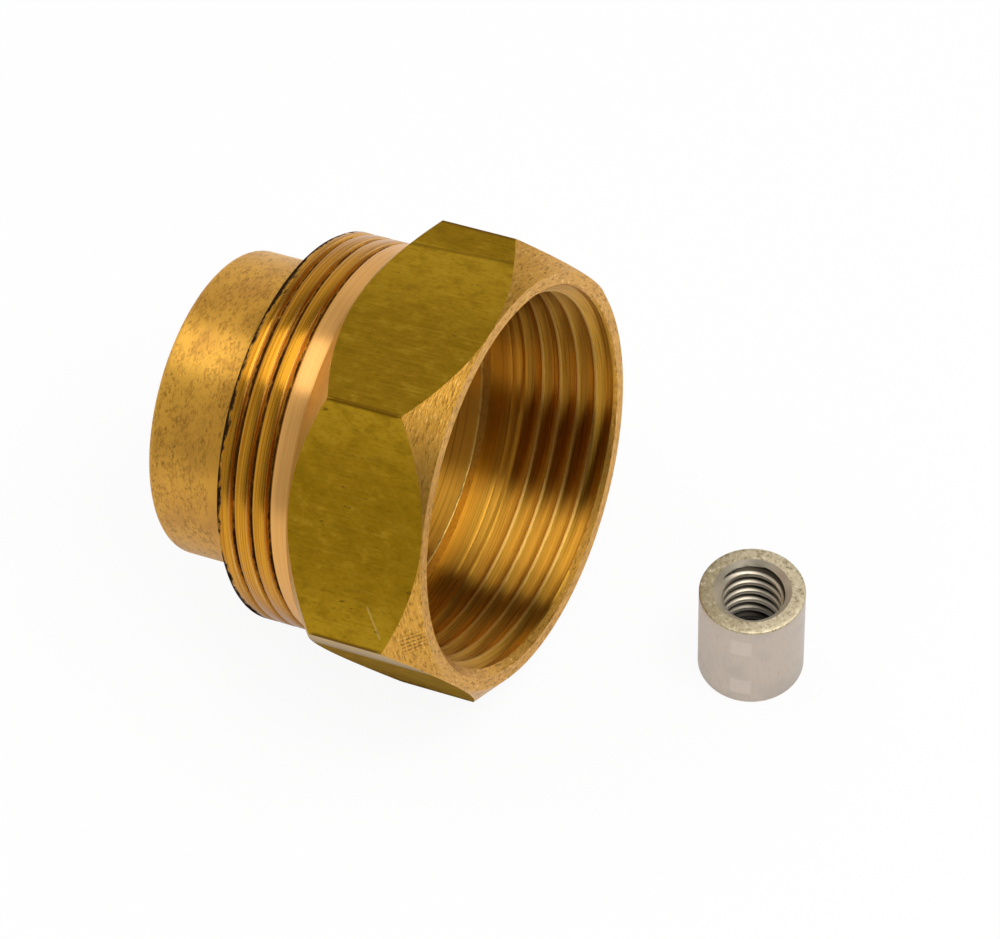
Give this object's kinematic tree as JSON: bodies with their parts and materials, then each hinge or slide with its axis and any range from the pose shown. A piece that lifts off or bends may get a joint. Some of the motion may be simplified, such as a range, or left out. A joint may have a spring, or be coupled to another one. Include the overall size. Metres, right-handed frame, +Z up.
{
  "type": "threaded pipe extension set",
  "caption": "Brass hexagon extension with a threaded socket, male thread and plain spigot, beside a loose tapped steel sleeve that lengthens a valve stem.",
  "frame": {"origin": "on the floor, under the middle of the box around both pieces as they lie", "axes": "+X along the floor the way the extension's axis heads towards its socket, +Z up, the sleeve stands ahead of the socket"},
  "size_m": [0.0476, 0.037, 0.0334],
  "materials": {
    "brass_body": "drawn hexagon flats and bright turned surfaces, darkened in the thread roots",
    "steel_coupling": "satin, ground outside, speckled end face"
  },
  "bodies": {
    "extension": {"extension_body": "brass_body"},
    "coupling": {"stem_coupling": "steel_coupling"}
  },
  "joints": [
    {"name": "coupling_lift", "type": "slide", "parent": "extension", "child": "coupling", "axis": [0, 0, 1], "range_m": [0, 0.045]}
  ]
}
